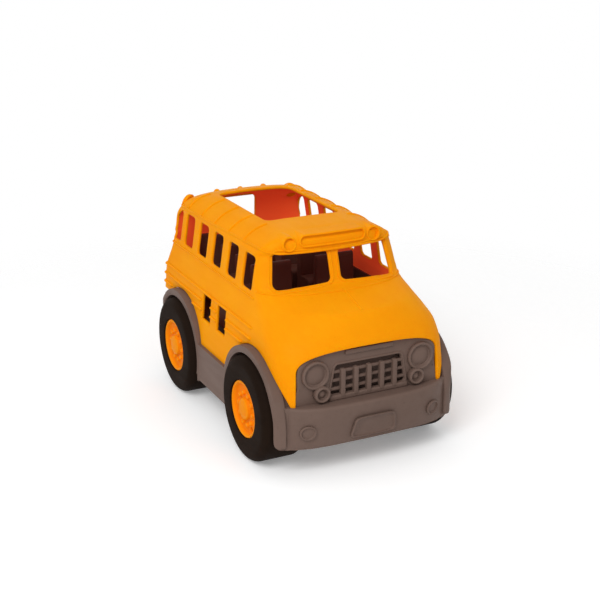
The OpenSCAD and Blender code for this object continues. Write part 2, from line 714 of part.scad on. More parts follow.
// Wheel parts stand on their own axis, the outer face upwards, and are then laid along X.
module on_axle(side, y) translate([0, y, axle_z]) rotate([0, 90 * side, 0]) children();
module wheel_hub(turn) rotate([0, 0, turn]) color("orange") {
    difference() {
        union() {
            rod_z(tyre_in + 1, hub_face - hub_flange_t, 0, 0, hub_d);
            rod_z(hub_face - hub_flange_t, hub_face, 0, 0, 2 * flange_r);
        }
        rod_z(tyre_in, dish_z - hub_web, 0, 0, hub_d - 2 * hub_wall);
        rod_z(dish_z, hub_face + 1, 0, 0, hub_d - hub_wall);
        rod_z(dish_z - 1.6, dish_z + 1, lug_ring + 4, 0, hub_pip_d);
    }
    difference() {
        rod_z(well_in + end_float, dish_z - 1, 0, 0, 2 * boss_r);
        rod_z(well_in, axle_end, 0, 0, axle_d + 2 * seat_play);
    }
    intersection() {
        translate([0, 0, hub_face - hub_dome_d]) sphere(d = 2 * hub_dome_d);
        rod_z(dish_z - 1, hub_face + 1, 0, 0, hub_dome_d);
    }
    for (k = [0 : lug_count - 1]) rotate([0, 0, (k + 0.5) * 360 / lug_count])
        rod_z(dish_z - 1, dish_z + 2, lug_ring, 0, lug_d);
}
module wheel_tyre() color("black") {
    bore = hub_d / 2 + seat_play;
    seat = flange_r + seat_play;
    rim = tyre_d / 2;
    crown = tyre_out - tyre_shoulder;
    rotate_extrude() polygon(concat(
        [[bore, tyre_in], [bore + tyre_wall, tyre_in], [bore + tyre_wall, tyre_out - tyre_wall - 1],
            [rim - tyre_shoulder, tyre_out - tyre_wall - 1], [rim - tyre_wall, crown],
            [rim - tyre_wall, tyre_in], [rim - inner_edge, tyre_in], [rim, tyre_in + inner_edge]],
        [for (i = [0 : 6]) [rim - tyre_shoulder + tyre_shoulder * cos(15 * i),
            crown + tyre_shoulder * sin(15 * i)]],
        [[seat + 3, tyre_out], [seat, tyre_out - 1], [seat, hub_face - hub_flange_t],
            [bore, hub_face - hub_flange_t]]
    ));
}
module wheel_axle() color("silver") {
    chamfer = 0.8;
    rod_z(-axle_end + chamfer, axle_end - chamfer, 0, 0, axle_d);
    translate([0, 0, axle_end - chamfer]) cylinder(d1 = axle_d, d2 = axle_d - 2 * chamfer, h = chamfer);
    translate([0, 0, -axle_end]) cylinder(d1 = axle_d - 2 * chamfer, d2 = axle_d, h = chamfer);
}
module axle_front() on_axle(1, axle_y[0]) wheel_axle();
module axle_rear() on_axle(1, axle_y[1]) wheel_axle();
module hub_front_right() on_axle(-1, axle_y[0]) wheel_hub(130);
module hub_front_left() on_axle(1, axle_y[0]) wheel_hub(40);
module hub_rear_right() on_axle(-1, axle_y[1]) wheel_hub(0);
module hub_rear_left() on_axle(1, axle_y[1]) wheel_hub(70);
module tyre_front_right() on_axle(-1, axle_y[0]) wheel_tyre();
module tyre_front_left() on_axle(1, axle_y[0]) wheel_tyre();
module tyre_rear_right() on_axle(-1, axle_y[1]) wheel_tyre();
module tyre_rear_left() on_axle(1, axle_y[1]) wheel_tyre();

// Screws: one group holds the shell to the sills, the other the seat deck to the floor.
module screw(x, y, z) {
    rod_z(z - head_h, z, x, y, head_d);
    rod_z(z, z + grip, x, y, screw_d);
}
module body_screws() color("silver") both_sides() screw(screw_x, screw_y, sill_z - chassis_wall);
module seat_screws() color("silver") both_sides() for (y = post_y) screw(post_x, y, pad_z);

body_shell();
grille_panel();
chassis();
seat_deck();
axle_front();
axle_rear();
hub_front_right();
hub_front_left();
hub_rear_right();
hub_rear_left();
tyre_front_right();
tyre_front_left();
tyre_rear_right();
tyre_rear_left();
body_screws();
seat_screws();
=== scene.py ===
"""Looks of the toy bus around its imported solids. Arrays are in millimetres; piece() scales them to metres."""
import math

import bpy
import numpy as np
from mathutils import Matrix, Vector


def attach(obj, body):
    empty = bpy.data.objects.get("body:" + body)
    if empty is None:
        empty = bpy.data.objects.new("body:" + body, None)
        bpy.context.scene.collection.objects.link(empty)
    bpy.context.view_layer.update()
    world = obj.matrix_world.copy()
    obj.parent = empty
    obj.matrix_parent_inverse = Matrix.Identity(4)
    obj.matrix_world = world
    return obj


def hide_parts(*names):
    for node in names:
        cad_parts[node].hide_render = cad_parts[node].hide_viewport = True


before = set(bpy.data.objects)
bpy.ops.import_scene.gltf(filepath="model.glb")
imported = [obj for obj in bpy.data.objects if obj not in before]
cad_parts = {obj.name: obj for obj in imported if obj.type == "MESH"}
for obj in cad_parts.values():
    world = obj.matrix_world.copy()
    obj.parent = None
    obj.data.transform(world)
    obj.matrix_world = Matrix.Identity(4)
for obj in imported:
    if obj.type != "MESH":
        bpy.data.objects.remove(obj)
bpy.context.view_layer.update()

# Chassis: one matte taupe moulding with floor, sills, wheel wells, fenders and the bowed front bumper. It
# carries everything else. The solid stays in view; rounded skins lie on its bumper and fenders, where the
# edges are soft.


class Wire:
    """A shader socket that can be used in sums like a number; node() adds any other shader node."""

    def __init__(self, tree, socket):
        self.tree, self.socket = tree, socket

    def node(self, kind, out=0, props=(), **inputs):
        """A new node of a kind: its props are set, and its inputs, by name or as i and a number, are set or
        linked."""
        n = self.tree.nodes.new("ShaderNode" + kind)
        for k, v in dict(props).items():
            setattr(n, k, v)
        for k, v in inputs.items():
            s = n.inputs[int(k[1:])] if k[0] == "i" and k[1:].isdigit() else n.inputs[k.replace("_", " ")]
            if isinstance(v, Wire):
                self.tree.links.new(v.socket, s)
            else:
                s.default_value = v
        return Wire(self.tree, n.outputs[out])

    def math(self, op, a, b=0.0, clamp=False):
        """The operation op on a and b; clamp holds the result between 0 and 1."""
        return self.node("Math", props={"operation": op, "use_clamp": clamp}, i0=a, i1=b)

    def __add__(self, o):
        return self.math("ADD", self, o)

    def __radd__(self, o):
        return self.math("ADD", o, self)

    def __sub__(self, o):
        return self.math("SUBTRACT", self, o)

    def __rsub__(self, o):
        return self.math("SUBTRACT", o, self)

    def __mul__(self, o):
        return self.math("MULTIPLY", self, o)

    def __rmul__(self, o):
        return self.math("MULTIPLY", o, self)


def moulded(name, colour, deep, rough, grain, gloss, scatter=0.0):
    """Moulded plastic: the colour drifts in clouds towards the deeper one and carries fine specks, long
    rubbed streaks change tone and gloss, and the spark-eroded mould leaves a fine grain in the normal."""
    material = bpy.data.materials.new(name)
    material.use_nodes = True
    tree = material.node_tree
    bsdf = tree.nodes["Principled BSDF"]
    w = Wire(tree, tree.nodes.new("ShaderNodeTexCoord").outputs["Object"])
    cloud = w.node("TexNoise", Vector=w, Scale=18.0, Detail=3.0)
    fine = w.node("TexNoise", Vector=w, Scale=1300.0, Detail=2.0)
    speck = w.node("TexNoise", Vector=w, Scale=420.0, Detail=1.0)
    stretched = w.node("Mapping", Vector=w, Scale=(60.0, 9.0, 60.0))
    rubbed = w.node("TexNoise", Vector=stretched, Scale=3.0, Detail=4.0)
    dark = cloud * 1.5 - 0.4 + (rubbed - 0.5) * 0.5
    dark = w.math("ADD", dark, w.math("MULTIPLY", speck - 0.62, 2.0, True), True)
    tint = w.node("Mix", 2, {"data_type": "RGBA"}, i0=dark, i6=(*colour, 1), i7=(*deep, 1))
    tree.links.new(tint.socket, bsdf.inputs["Base Color"])
    sheen = rough + (fine - 0.5) * 0.14 + (rubbed - 0.5) * 0.22
    tree.links.new(sheen.socket, bsdf.inputs["Roughness"])
    bump = w.node("Bump", Height=fine * 0.7 + speck * 0.3, Strength=grain, Distance=0.0004)
    tree.links.new(bump.socket, bsdf.inputs["Normal"])
    bsdf.inputs["Specular IOR Level"].default_value = gloss
    if scatter:
        bsdf.inputs["Subsurface Weight"].default_value = scatter
        bsdf.inputs["Subsurface Radius"].default_value = (1.0, 0.34, 0.04)
        bsdf.inputs["Subsurface Scale"].default_value = 0.002
    return material


def coat(name, material):
    """Gives a solid that stays in view its material."""
    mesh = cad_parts[name].data
    mesh.materials.clear()
    mesh.materials.append(material)


def soften(name, width, segments):
    """Rounds the sharp edges of a solid in view: its loose triangles are welded, then edges sharper than 40
    degrees are bevelled by width, in metres."""
    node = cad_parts[name]
    weld = node.modifiers.new("weld", "WELD")
    weld.merge_threshold = 0.00002
    edge = node.modifiers.new("edge", "BEVEL")
    edge.width = width
    edge.segments = segments
    edge.limit_method = "ANGLE"
    edge.angle_limit = math.radians(40)


def piece(name, verts, faces, body, slot, material, nodes=(), inside=None):
    """A closed mesh from whole arrays: vertices in one place are joined, quads that shrink to a triangle
    become one, and the faces turn outwards. inside gives a second material and the faces that have it."""
    verts = np.asarray(verts, float).reshape(-1, 3)
    spots, inverse = np.unique(np.round(verts, 4), axis=0, return_inverse=True)
    f = inverse.reshape(-1)[np.asarray(faces)]
    mark = np.zeros(len(f), bool) if inside is None else inside[1]
    c = spots[f]
    fan = np.cross(c[:, 1], c[:, 2]) * c[:, 0] + np.cross(c[:, 2], c[:, 3]) * c[:, 0]
    f = f if fan.sum() > 0 else f[:, ::-1]
    same = f == np.roll(f, -1, axis=1)
    pinched = same.sum(1) == 1
    order = (np.argmax(same[pinched], 1)[:, None] + np.arange(1, 4)) % 4
    thin = np.take_along_axis(f[pinched], order, 1)
    whole = ~same.any(1)
    mesh = bpy.data.meshes.new(name)
    mesh.from_pydata((spots * 0.001).tolist(), [], f[whole].tolist() + thin.tolist())
    mesh.polygons.foreach_set("use_smooth", np.full(len(mesh.polygons), True))
    mesh.materials.append(material)
    if inside is not None:
        mesh.materials.append(inside[0])
        which = np.concatenate([mark[whole], mark[pinched]])
        mesh.polygons.foreach_set("material_index", which.astype(np.int32))
    mesh.validate()
    o = bpy.data.objects.new(name, mesh)
    bpy.context.scene.collection.objects.link(o)
    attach(o, body)
    if nodes:
        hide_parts(*nodes)


def grid(n, m, wrap_n=False, wrap_m=False):
    """Quads between neighbouring points of an n by m grid of vertices."""
    k = np.arange(n * m).reshape(n, m)
    k = np.concatenate([k, k[:1]], 0) if wrap_n else k
    k = np.concatenate([k, k[:, :1]], 1) if wrap_m else k
    return np.stack([k[:-1, :-1], k[1:, :-1], k[1:, 1:], k[:-1, 1:]], -1).reshape(-1, 4)


def round_section(p0, p1, q0, q1, r, n=5):
    """Closed outline of a rectangle with rounded corners, as (p, q) points, anticlockwise."""
    t = np.radians(np.add.outer([0, 90, 180, 270], np.linspace(0, 90, n))).ravel()
    p = np.repeat([p1 - r, p0 + r, p0 + r, p1 - r], n) + r * np.cos(t)
    q = np.repeat([q1 - r, q1 - r, q0 + r, q0 + r], n) + r * np.sin(t)
    return np.stack([p, q], 1)


def rounded_ends(s, r):
    """Stations along a path with extra ones near both ends, and how far the section shrinks to round them."""
    a = np.radians(np.linspace(0, 90, 6))
    inner = s[(s > s[0] + r) & (s < s[-1] - r)]
    stations = np.concatenate([s[0] + r * (1 - np.sin(a[::-1])), inner, s[-1] - r * (1 - np.sin(a))])
    shrink = np.concatenate([r * (1 - np.cos(a[::-1])), np.zeros(len(inner)), r * (1 - np.cos(a))])
    return np.sort(stations), shrink


def swept(run, end_radius, place, outline):
    """Sweep: the outline (p, q) is set at every station s of the run by place(s, p, q), and pulled in about
    its middle near both ends, which are rounded by end_radius."""
    stations, shrink = rounded_ends(run, end_radius)
    mid = (outline.max(0) + outline.min(0)) / 2
    half = (outline.max(0) - outline.min(0)) / 2
    k = (half[None] - shrink[:, None]) / half[None]
    p = mid[0] + (outline[None, :, 0] - mid[0]) * k[:, :1]
    q = mid[1] + (outline[None, :, 1] - mid[1]) * k[:, 1:]
    pts = place(np.broadcast_to(stations[:, None], p.shape), p, q)
    n, m = p.shape
    first = np.repeat(pts[:1].mean(1, keepdims=True), m, 1)
    last = np.repeat(pts[-1:].mean(1, keepdims=True), m, 1)
    return np.concatenate([first, pts, last]), grid(n + 2, m, wrap_m=True)


def bumper_front(x, z):
    """Front of the bow: a superellipse of half width 81 and depth 42, swollen most at the middle of its
    top."""
    swell = 6 * np.clip(1 - (x / 72) ** 4, 0, 1) * np.clip((z - 25) / 24, 0, 1)
    return -89.5 - 42 * (1 - np.abs(x / 81) ** 3.8) ** (1 / 3.8) - swell


def within_plan(x, y):
    """Points outside the rounded corners of the chassis are pulled on to its plan, a superellipse of
    power 9."""
    middle = np.where(y < 0, -87.0, 88.5)
    t = np.maximum(np.abs(y) - np.abs(middle), 0) / 40.4
    g = np.where(t > 0, np.maximum((np.abs(x / 81.2) ** 9 + t ** 9) ** (1 / 9), 1), 1)
    return x / g, np.where(t > 0, middle + (y - middle) / g, y)


def fender_point(s, p, q, side, y_axle):
    """Fender: half a ring about the axle with a straight leg down at each end; s runs along it, p is the
    radius and q the distance from the middle of the bus. The foot of a leg leans in a little."""
    a = np.clip(s / fender_mean, 0, math.pi)
    drop = np.maximum(-s, 0) + np.maximum(s - fender_mean * math.pi, 0)
    foot = np.clip((drop - 9) / 7, 0, 1) ** 2
    x, y = within_plan(side * (q - 0.3 * foot * (q - fender_inner)), y_axle + p * np.cos(a))
    return np.stack([x, y, axle_z + p * np.sin(a) - drop], -1)


hands = ((-1, "right"), (1, "left"))
wheels = (("front", -75.0), ("rear", 80.0))
axle_z = 43
taupe = moulded("trim_taupe", (0.156, 0.102, 0.082), (0.124, 0.080, 0.063), 0.50, 0.16, 0.12)
coat("chassis", taupe)
soften("chassis", 0.0011, 3)
bow_half = 71.0
verts, faces = swept(np.linspace(-bow_half, bow_half, 120), 4.5,
                     lambda s, p, q: np.stack([s, bumper_front(s, q) + p, q], -1),
                     round_section(-0.15, 14.0, 24.85, 60.1, 2.6, 7))
piece("bumper_bow", verts, faces, "bus", "trim", taupe)
fender_mean = 48
fender_leg = 16
fender_inner = 70.4
fender_run = np.linspace(-fender_leg, fender_mean * math.pi + fender_leg, 96)
fender_section = round_section(45.1, 50.85, fender_inner, 81.2, 2.2, 6)
for end, y_axle in wheels:
    for side, hand in hands:
        verts, faces = swept(fender_run, 2.4, lambda s, p, q: fender_point(s, p, q, side, y_axle),
                             fender_section)
        piece(f"fender_{end}_{hand}", verts, faces, "bus", "trim", taupe)

# Plate and plugs on the bumper: a bare raised plate with a rim in the middle and a flat round plug at each
# end. They are taupe plastic like the bow, and are moulded with it.


def revolve(profile, n):
    """Ring of copies of an (r, h) profile about an axis, as radius, height and angle arrays."""
    a = np.linspace(0, 2 * math.pi, n, endpoint=False)
    return np.broadcast_arrays(profile[None, :, 0], profile[None, :, 1], a[:, None])


plug_x = 55.6
plug_z = 39.8
plug = np.array([[0, -0.6], [6.3, -0.6], [6.25, 1.0], [6.0, 1.6], [5.5, 1.8], [5.1, 1.6], [4.9, 0.9],
                 [4.7, 0.45], [4.2, 0.4], [2.0, 0.5], [0, 0.55]])
for side, hand in hands:
    r, h, a = revolve(plug, 64)
    x, z = side * plug_x + r * np.cos(a), plug_z + r * np.sin(a)
    verts = np.stack([x, bumper_front(x, z) - h, z], -1)
    piece(f"bumper_plug_{hand}", verts, grid(64, len(plug), wrap_n=True), "bus", "trim", taupe)
plate_z = 38.2
plate_half = 18.8
plate_taper = 1.6
plate_rise = 9.2
t = np.linspace(0, 2 * math.pi, 160, endpoint=False)
reach = (np.abs(np.cos(t)) ** 7 + np.abs(np.sin(t)) ** 7) ** (-1 / 7)
rim = np.array([[0, -0.4], [1.012, -0.4], [1.008, 1.2], [0.995, 1.8], [0.965, 2.0], [0.925, 1.8],
                [0.905, 0.9], [0.88, 0.5], [0.5, 0.5], [0.0, 0.5]])
across, high = (np.outer(reach * f(t), rim[:, 0]) for f in (np.cos, np.sin))
x, z = (plate_half - plate_taper * high) * across, plate_z + plate_rise * high
verts = np.stack([x, bumper_front(x, z) - rim[None, :, 1], z], -1)
piece("bumper_plate", verts, grid(160, len(rim), wrap_n=True), "bus", "trim", taupe)

# Axles: straight rods of bright zinc-plated steel. They run through bearing bosses in the chassis, and the
# hubs are pressed on their ends.
steel = moulded("steel", (0.55, 0.55, 0.56), (0.46, 0.46, 0.47), 0.30, 0.05, 0.5)
steel.node_tree.nodes["Principled BSDF"].inputs["Metallic"].default_value = 1.0
coat("axle_front", steel)
coat("axle_rear", steel)

# Tyres: thick slick mouldings of dark brown-black plastic with boxy shoulders and a rounded bead at the hub.
# They are pushed over the hubs and turn with them.


def arc(a, r, radius, start, end, n=8):
    """Points (axial, radial) on a circle about (a, r)."""
    t = np.radians(np.linspace(start, end, n))
    return np.stack([a + radius * np.cos(t), r + radius * np.sin(t)], 1)


def wheel_points(axial, radial, angle, side, y):
    """Wheel coordinates to the bus frame: side +1 is the left of the bus, -1 the right."""
    axial, radial, angle = np.broadcast_arrays(axial, radial, angle)
    return np.stack([side * axial, y + radial * np.cos(angle), axle_z + radial * np.sin(angle)], -1)


tyre_black = moulded("tyre_black", (0.0165, 0.0092, 0.0058), (0.0100, 0.0058, 0.0040), 0.62, 0.22, 0.02)
tyre = np.concatenate([
    [[83.0, 22.3], [83.0, 23.75], [84.9, 23.75]], arc(84.9, 24.75, 1.0, 270, 360, 5),
    [[86.0, 27.5], [86.05, 31.0]], arc(79.0, 36.0, 7.0, 0, 90, 12),
    [[74.0, 43.0], [68.0, 43.0], [60.0, 43.0]], arc(53.5, 38.5, 4.5, 90, 180, 8),
    [[49.0, 34.0], [49.3, 28.0], [51.0, 22.3]]])
turn = np.radians(np.arange(144) * 2.5)
for end, y_axle in wheels:
    for side, hand in hands:
        verts = wheel_points(tyre[None, :, 0], tyre[None, :, 1], turn[:, None], side, y_axle)
        piece(f"tyre_{end}_{hand}_skin", verts, grid(len(turn), len(tyre), True, True), f"{end}_wheels",
              "tyres", tyre_black, [f"tyre_{end}_{hand}"])

# Hubs: yellow-orange mouldings with a rolled rim, a dished face, a ring of round lugs about a flat dome and
# one deep round ejector mark near the rim. They are pressed on the axle, so each pair keeps its angle. The
# dish is painted a deeper orange than what stands out of it, as painted shade in the recess, and the
# ejector mark is painted darker still, as painted shade in the hole.
hub_orange = moulded("hub_orange", (0.88, 0.285, 0.0018), (0.82, 0.230, 0.0014), 0.50, 0.12, 0.04, 0.2)
tree = hub_orange.node_tree
skin = tree.nodes["Principled BSDF"].inputs["Base Color"]
w = Wire(tree, skin.links[0].from_socket)
spot = w.node("SeparateXYZ", Vector=Wire(tree, tree.nodes["Texture Coordinate"].outputs["Object"]))
# Painted shade: the dish is darkened where it lies below the rim, and the ejector hole is darkened more.
dish_painted_shade = w.math("MULTIPLY", 0.0838 - w.math("ABSOLUTE", spot), 520.0, True)
hole_painted_shade = w.math("MULTIPLY", 0.0813 - w.math("ABSOLUTE", spot), 900.0, True)
shade = w.node("Mix", 2, {"data_type": "RGBA"}, i0=dish_painted_shade, i6=w, i7=(0.84, 0.200, 0.0014, 1))
shade = w.node("Mix", 2, {"data_type": "RGBA"}, i0=hole_painted_shade, i6=shade, i7=(0.50, 0.085, 0.001, 1))
tree.links.new(shade.socket, skin)
hub_face = 82.0
lug_ring = 13.4
mark_ring = 17.4
lug_pitch = math.radians(36)
hub = np.concatenate([
    [[60.0, 0.0], [60.0, 21.9], [81.5, 21.9], [82.2, 23.3]], arc(84.0, 22.3, 1.1, 90, -60, 10),
    [[83.6, 20.9], [82.4, 20.4]], np.stack([np.full(42, hub_face), np.linspace(19.8, 9.6, 42)], 1),
    [[82.4, 9.2], [83.8, 8.7]], arc(83.9, 7.6, 1.2, 60, 15, 5), [[85.5, 6.0], [85.8, 3.0], [85.9, 0.0]]])
turn = np.radians(np.arange(300) * 1.2)
for (end, y_axle), mark in zip(wheels, (math.radians(238), math.radians(95))):
    for side, hand in hands:
        A, R, T = np.broadcast_arrays(hub[None, :, 0], hub[None, :, 1], turn[:, None])
        near = (T - mark - lug_pitch / 2 + lug_pitch * 20.5) % lug_pitch - lug_pitch / 2
        lug = np.hypot(R * np.cos(near) - lug_ring, R * np.sin(near))
        pip = np.hypot(R * np.cos(T - mark) - mark_ring, R * np.sin(T - mark))
        up = 1.9 / (1 + np.exp(np.clip((lug - 1.9) / 0.13, -40, 40)))
        down = 2.6 / (1 + np.exp(np.clip((pip - 2.1) / 0.12, -40, 40)))
        A = A + (np.abs(A - hub_face) < 0.01) * (up - down)
        piece(f"hub_{end}_{hand}_skin", wheel_points(A, R, T, side, y_axle), grid(300, len(hub), True),
              f"{end}_wheels", "hubs", hub_orange, [f"hub_{end}_{hand}"])

# Seat deck: a dark brown moulding with two columns of benches, screwed to the floor through its posts. A
# board on each side closes the view through the side slots, and the ends of the last bench reach out to the
# walls. Those boards and ends are a guess.


def joined(parts):
    """Several meshes as one: vertices stacked, face numbers shifted."""
    verts = [np.reshape(v, (-1, 3)) for v, _ in parts]
    start = np.cumsum([0] + [len(v) for v in verts])
    return np.concatenate(verts), np.concatenate([f + s for (_, f), s in zip(parts, start)])


brown = moulded("seat_brown", (0.105, 0.044, 0.031), (0.080, 0.033, 0.023), 0.52, 0.16, 0.12)
coat("seat_deck", brown)
soften("seat_deck", 0.0007, 2)
board_section = round_section(62.2, 64.2, 78.0, 115.0, 0.9)
bench_back = round_section(84.5, 90.3, 95.0, 140.8, 1.4)
bench_cushion = round_section(67.3, 86.3, 95.0, 114.6, 1.4)
for side, hand in hands:
    verts, faces = swept(np.linspace(-28, 40, 40), 0.9, lambda s, p, q: np.stack([side * p, s, q], -1),
                         board_section)
    piece(f"deck_board_{hand}", verts, faces, "bus", "seats", brown)
    ends = [swept(np.linspace(45.0, 56.0, 12), 0.9, lambda s, p, q: np.stack([side * s, p, q], -1), outline)
            for outline in (bench_back, bench_cushion)]
    piece(f"bench_end_{hand}", *joined(ends), "bus", "seats", brown)

# Grille panel: a separate taupe moulding behind the arch of the nose, plugged into the bumper by two tongues.
# The open grille has three slats set back and five bars in front; lamp rings and lamp cups stand on the
# plate. The back plate behind the slats, which closes the view, is a guess.


def box_sdf(p, q, p0, p1, q0, q1, r):
    """Distance outside a rounded rectangle (negative inside)."""
    a = np.abs(p - (p0 + p1) / 2) - (p1 - p0) / 2 + r
    b = np.abs(q - (q0 + q1) / 2) - (q1 - q0) / 2 + r
    return np.hypot(np.maximum(a, 0), np.maximum(b, 0)) + np.minimum(np.maximum(a, b), 0) - r


def pierced(point, openings, u_line, v_line, wrap, du, dv):
    """Surface point(u, v) on a grid, less its openings (signed distance, negative inside): the grid vertices
    next to an edge slide along the surface on to it, and quads that the edge cuts across keep the triangle
    outside."""
    U, V = (a.ravel() for a in np.meshgrid(u_line, v_line, indexing="ij"))
    f = grid(len(u_line), len(v_line), wrap_n=wrap)
    d = openings(point(U, V))
    edges = np.concatenate([f[:, [0, 1]], f[:, [1, 2]], f[:, [2, 3]], f[:, [3, 0]]])
    cross = edges[(d[edges[:, 0]] > 0) != (d[edges[:, 1]] > 0)]
    nearer = np.abs(d[cross[:, 0]]) < np.abs(d[cross[:, 1]])
    snap = np.unique(np.where(nearer, cross[:, 0], cross[:, 1]))
    us, vs = U[snap], V[snap]
    lo, hi = v_line[0], v_line[-1]
    for _ in range(8):
        here = openings(point(us, vs))
        gu = (openings(point(us + du, vs)) - openings(point(us - du, vs))) / 2
        above, below = np.clip(vs + dv, lo, hi), np.clip(vs - dv, lo, hi)
        gv = (openings(point(us, above)) - openings(point(us, below))) / 2
        g = np.maximum(gu ** 2 + gv ** 2, 1e-9)
        us = us - np.clip(here * gu / g, -3, 3) * du
        vs = np.clip(vs - np.clip(here * gv / g, -8, 8) * dv, lo, hi)
    U[snap], V[snap] = us, vs
    verts = point(U, V)
    d[snap] = 0
    inside = (d[f] < 0).sum(1)
    flat = d[f].max(1) <= 0
    middle = openings(verts[f].mean(1)) > 0
    quads = f[(inside == 0) & (~flat | middle)]
    one = f[inside == 1]
    gone = np.argmax(d[one] < 0, 1)[:, None]
    tri = np.take_along_axis(one, (gone + np.array([[1, 2, 3, 3]])) % 4, 1)
    tri = tri[openings(verts[tri[:, :3]].mean(1)) > 0]
    return U, V, np.concatenate([quads, tri])


def lined(point, U, V, f, wall, lip, du, dv, lo, hi):
    """Closed body from a pierced skin: the skin, a lining one wall inside it and a rounded rim along each
    edge, half an ellipse that stands out by lip. Returns vertices, quads and which quads line the inside."""
    at = np.round(point(U, V), 4)
    _, first, inverse = np.unique(at, axis=0, return_index=True, return_inverse=True)
    U, V, f = U[first], V[first], inverse.reshape(-1)[f]
    p, n_skin = point(U, V), len(first)
    above, below = np.clip(V + dv, lo, hi), np.clip(V - dv, lo, hi)
    n = np.cross(point(U + du, V) - point(U - du, V), point(U, above) - point(U, below))
    n /= np.maximum(np.linalg.norm(n, axis=1, keepdims=True), 1e-9)
    n[np.abs(p[:, 0]) < 1e-6, 0] = 0
    e = np.concatenate([f[:, [0, 1]], f[:, [1, 2]], f[:, [2, 3]], f[:, [3, 0]]])
    e = e[e[:, 0] != e[:, 1]]
    e = e[~np.isin(e[:, 0] * n_skin + e[:, 1], e[:, 1] * n_skin + e[:, 0])]
    out = np.zeros_like(p)
    away = np.cross(p[e[:, 1]] - p[e[:, 0]], n[e[:, 0]])
    away /= np.maximum(np.linalg.norm(away, axis=1, keepdims=True), 1e-9)
    np.add.at(out, e[:, 0], away)
    np.add.at(out, e[:, 1], away)
    rim, place = np.unique(e, return_inverse=True)
    place = place.reshape(-1, 2)
    out = out[rim] / np.maximum(np.linalg.norm(out[rim], axis=1, keepdims=True), 1e-9)
    a = np.radians([36, 72, 108, 144])[:, None, None]
    rings = p[rim] - n[rim] * wall * (1 - np.cos(a)) / 2 + out * lip * np.sin(a)
    index = np.vstack([rim, 2 * n_skin + np.arange(4 * len(rim)).reshape(4, -1), rim + n_skin])
    k = index[:, place]
    band = np.stack([k[:-1, :, 1], k[:-1, :, 0], k[1:, :, 0], k[1:, :, 1]], -1).reshape(-1, 4)
    verts = np.concatenate([p, p - wall * n, rings.reshape(-1, 3)])
    quads = np.concatenate([f, f[:, ::-1] + n_skin, band])
    return verts, quads, np.repeat([False, True, False], [len(f), len(f), len(band)])


def bead(line, out, width, height, closed=False):
    """A half-round bead along a line on a surface with normals out; an open one runs out to a point at both
    ends."""
    step = np.roll(line, -1, 0) - np.roll(line, 1, 0) if closed else np.gradient(line, axis=0)
    across = np.cross(step, out)
    across /= np.linalg.norm(across, axis=1, keepdims=True)
    out = out / np.linalg.norm(out, axis=1, keepdims=True)
    s = np.arange(len(line))
    end = np.minimum(np.minimum(s, s[::-1]) / 2, 1) if not closed else np.ones(len(line))
    k = np.sqrt(1 - (1 - end) ** 2)[:, None, None]
    a = np.linspace(-0.6, math.pi + 0.6, 9)[None, :, None]
    p = line[:, None] + k * (across[:, None] * width / 2 * np.cos(a) + out[:, None] * height * np.sin(a))
    return p, grid(len(line), 9, closed, True)


def dense(outline, n):
    """Closed outline with n points along each of its straight pieces."""
    k = np.arange(0, len(outline), 1 / n)
    i = k.astype(int)
    f = (k - i)[:, None]
    return outline[i] * (1 - f) + np.roll(outline, -1, 0)[i] * f


def panel_point(u, v):
    """Plate of the grille panel: u across, v up; its height follows the arch and its face is slightly
    crowned."""
    half = 64.1 - 3 * np.clip(v * 42.1 / 24.5, 0, 1)
    x = u * half
    crown = 24.5 + 17.6 * (1 - np.abs(np.clip(u, -1, 1)) ** 2.8) ** (1 / 2.8)
    z = 60 + v * crown
    rim = np.clip(1 - np.minimum((1 - np.abs(u)) * half, (1 - v) * crown) / 2.2, 0, 1)
    return np.stack([x, panel_face(x) + rim ** 2, z], -1)


def panel_face(x):
    """Face of the panel, set back towards its ends with the square of the distance from the middle."""
    return -124.5 + 0.0002 * x ** 2


def grille_half(z):
    """Half width of the trapezoid of the grille at height z: it falls in a straight line from its foot."""
    return 32.9 - 4.3 * (z - grille_foot) / 23.7


def grille_opening(p):
    """Trapezoid with rounded corners between the lamps."""
    x, z = p[..., 0], p[..., 2]
    return box_sdf(x / grille_half(z) * 31, z, -31, 31, grille_foot, 88.2, 2.4) - panel_lip


grille_foot = 64.5
panel_wall = 2.6
panel_lip = 0.5
v_line = np.concatenate([np.linspace(0, 0.95, 60), np.linspace(0.95, 1, 7)[1:]])
u_line = np.concatenate([np.linspace(-1, -0.97, 6), np.linspace(-0.97, 0.97, 140)[1:-1],
                         np.linspace(0.97, 1, 6)])
U, V, faces = pierced(panel_point, grille_opening, u_line, v_line, False, 0.002, 0.004)
verts, faces, _ = lined(panel_point, U, V, faces, panel_wall, panel_lip, 0.002, 0.004, 0, 1)
piece("grille_plate", verts, faces, "bus", "trim", taupe, ["grille_panel"])
lamp = np.array([[0, -0.8], [11.6, -0.8], [11.4, 1.7], [11.3, 2.3], [10.9, 2.8], [10.3, 2.95], [9.7, 2.8],
                 [9.2, 2.3], [8.9, 1.2], [8.6, 0.5], [8.2, 0.35], [7.6, 0.6], [5.5, 1.3], [3.0, 1.75],
                 [1.2, 1.85], [0, 1.87]])
cup = np.array([[0, -0.8], [6.7, -0.8], [6.6, 4.4], [6.35, 5.1], [5.8, 5.5], [5.2, 5.55], [4.7, 5.3],
                [4.4, 4.7], [4.2, 2.4], [4.0, 1.8], [3.6, 1.7], [3.1, 2.3], [2.4, 3.0], [1.2, 3.4],
                [0, 3.5]])
for side, hand in hands:
    for name, profile, cx, cz in (("headlamp", lamp, 46.3, 83.6), ("lamp_cup", cup, 41.7, 68.0)):
        r, h, a = revolve(profile, 72)
        verts = np.stack([side * cx + r * np.cos(a), panel_face(cx) - h, cz + r * np.sin(a)], -1)
        piece(f"{name}_{hand}", verts, grid(72, len(profile), wrap_n=True), "bus", "trim", taupe)
bar_pitch = 11.44
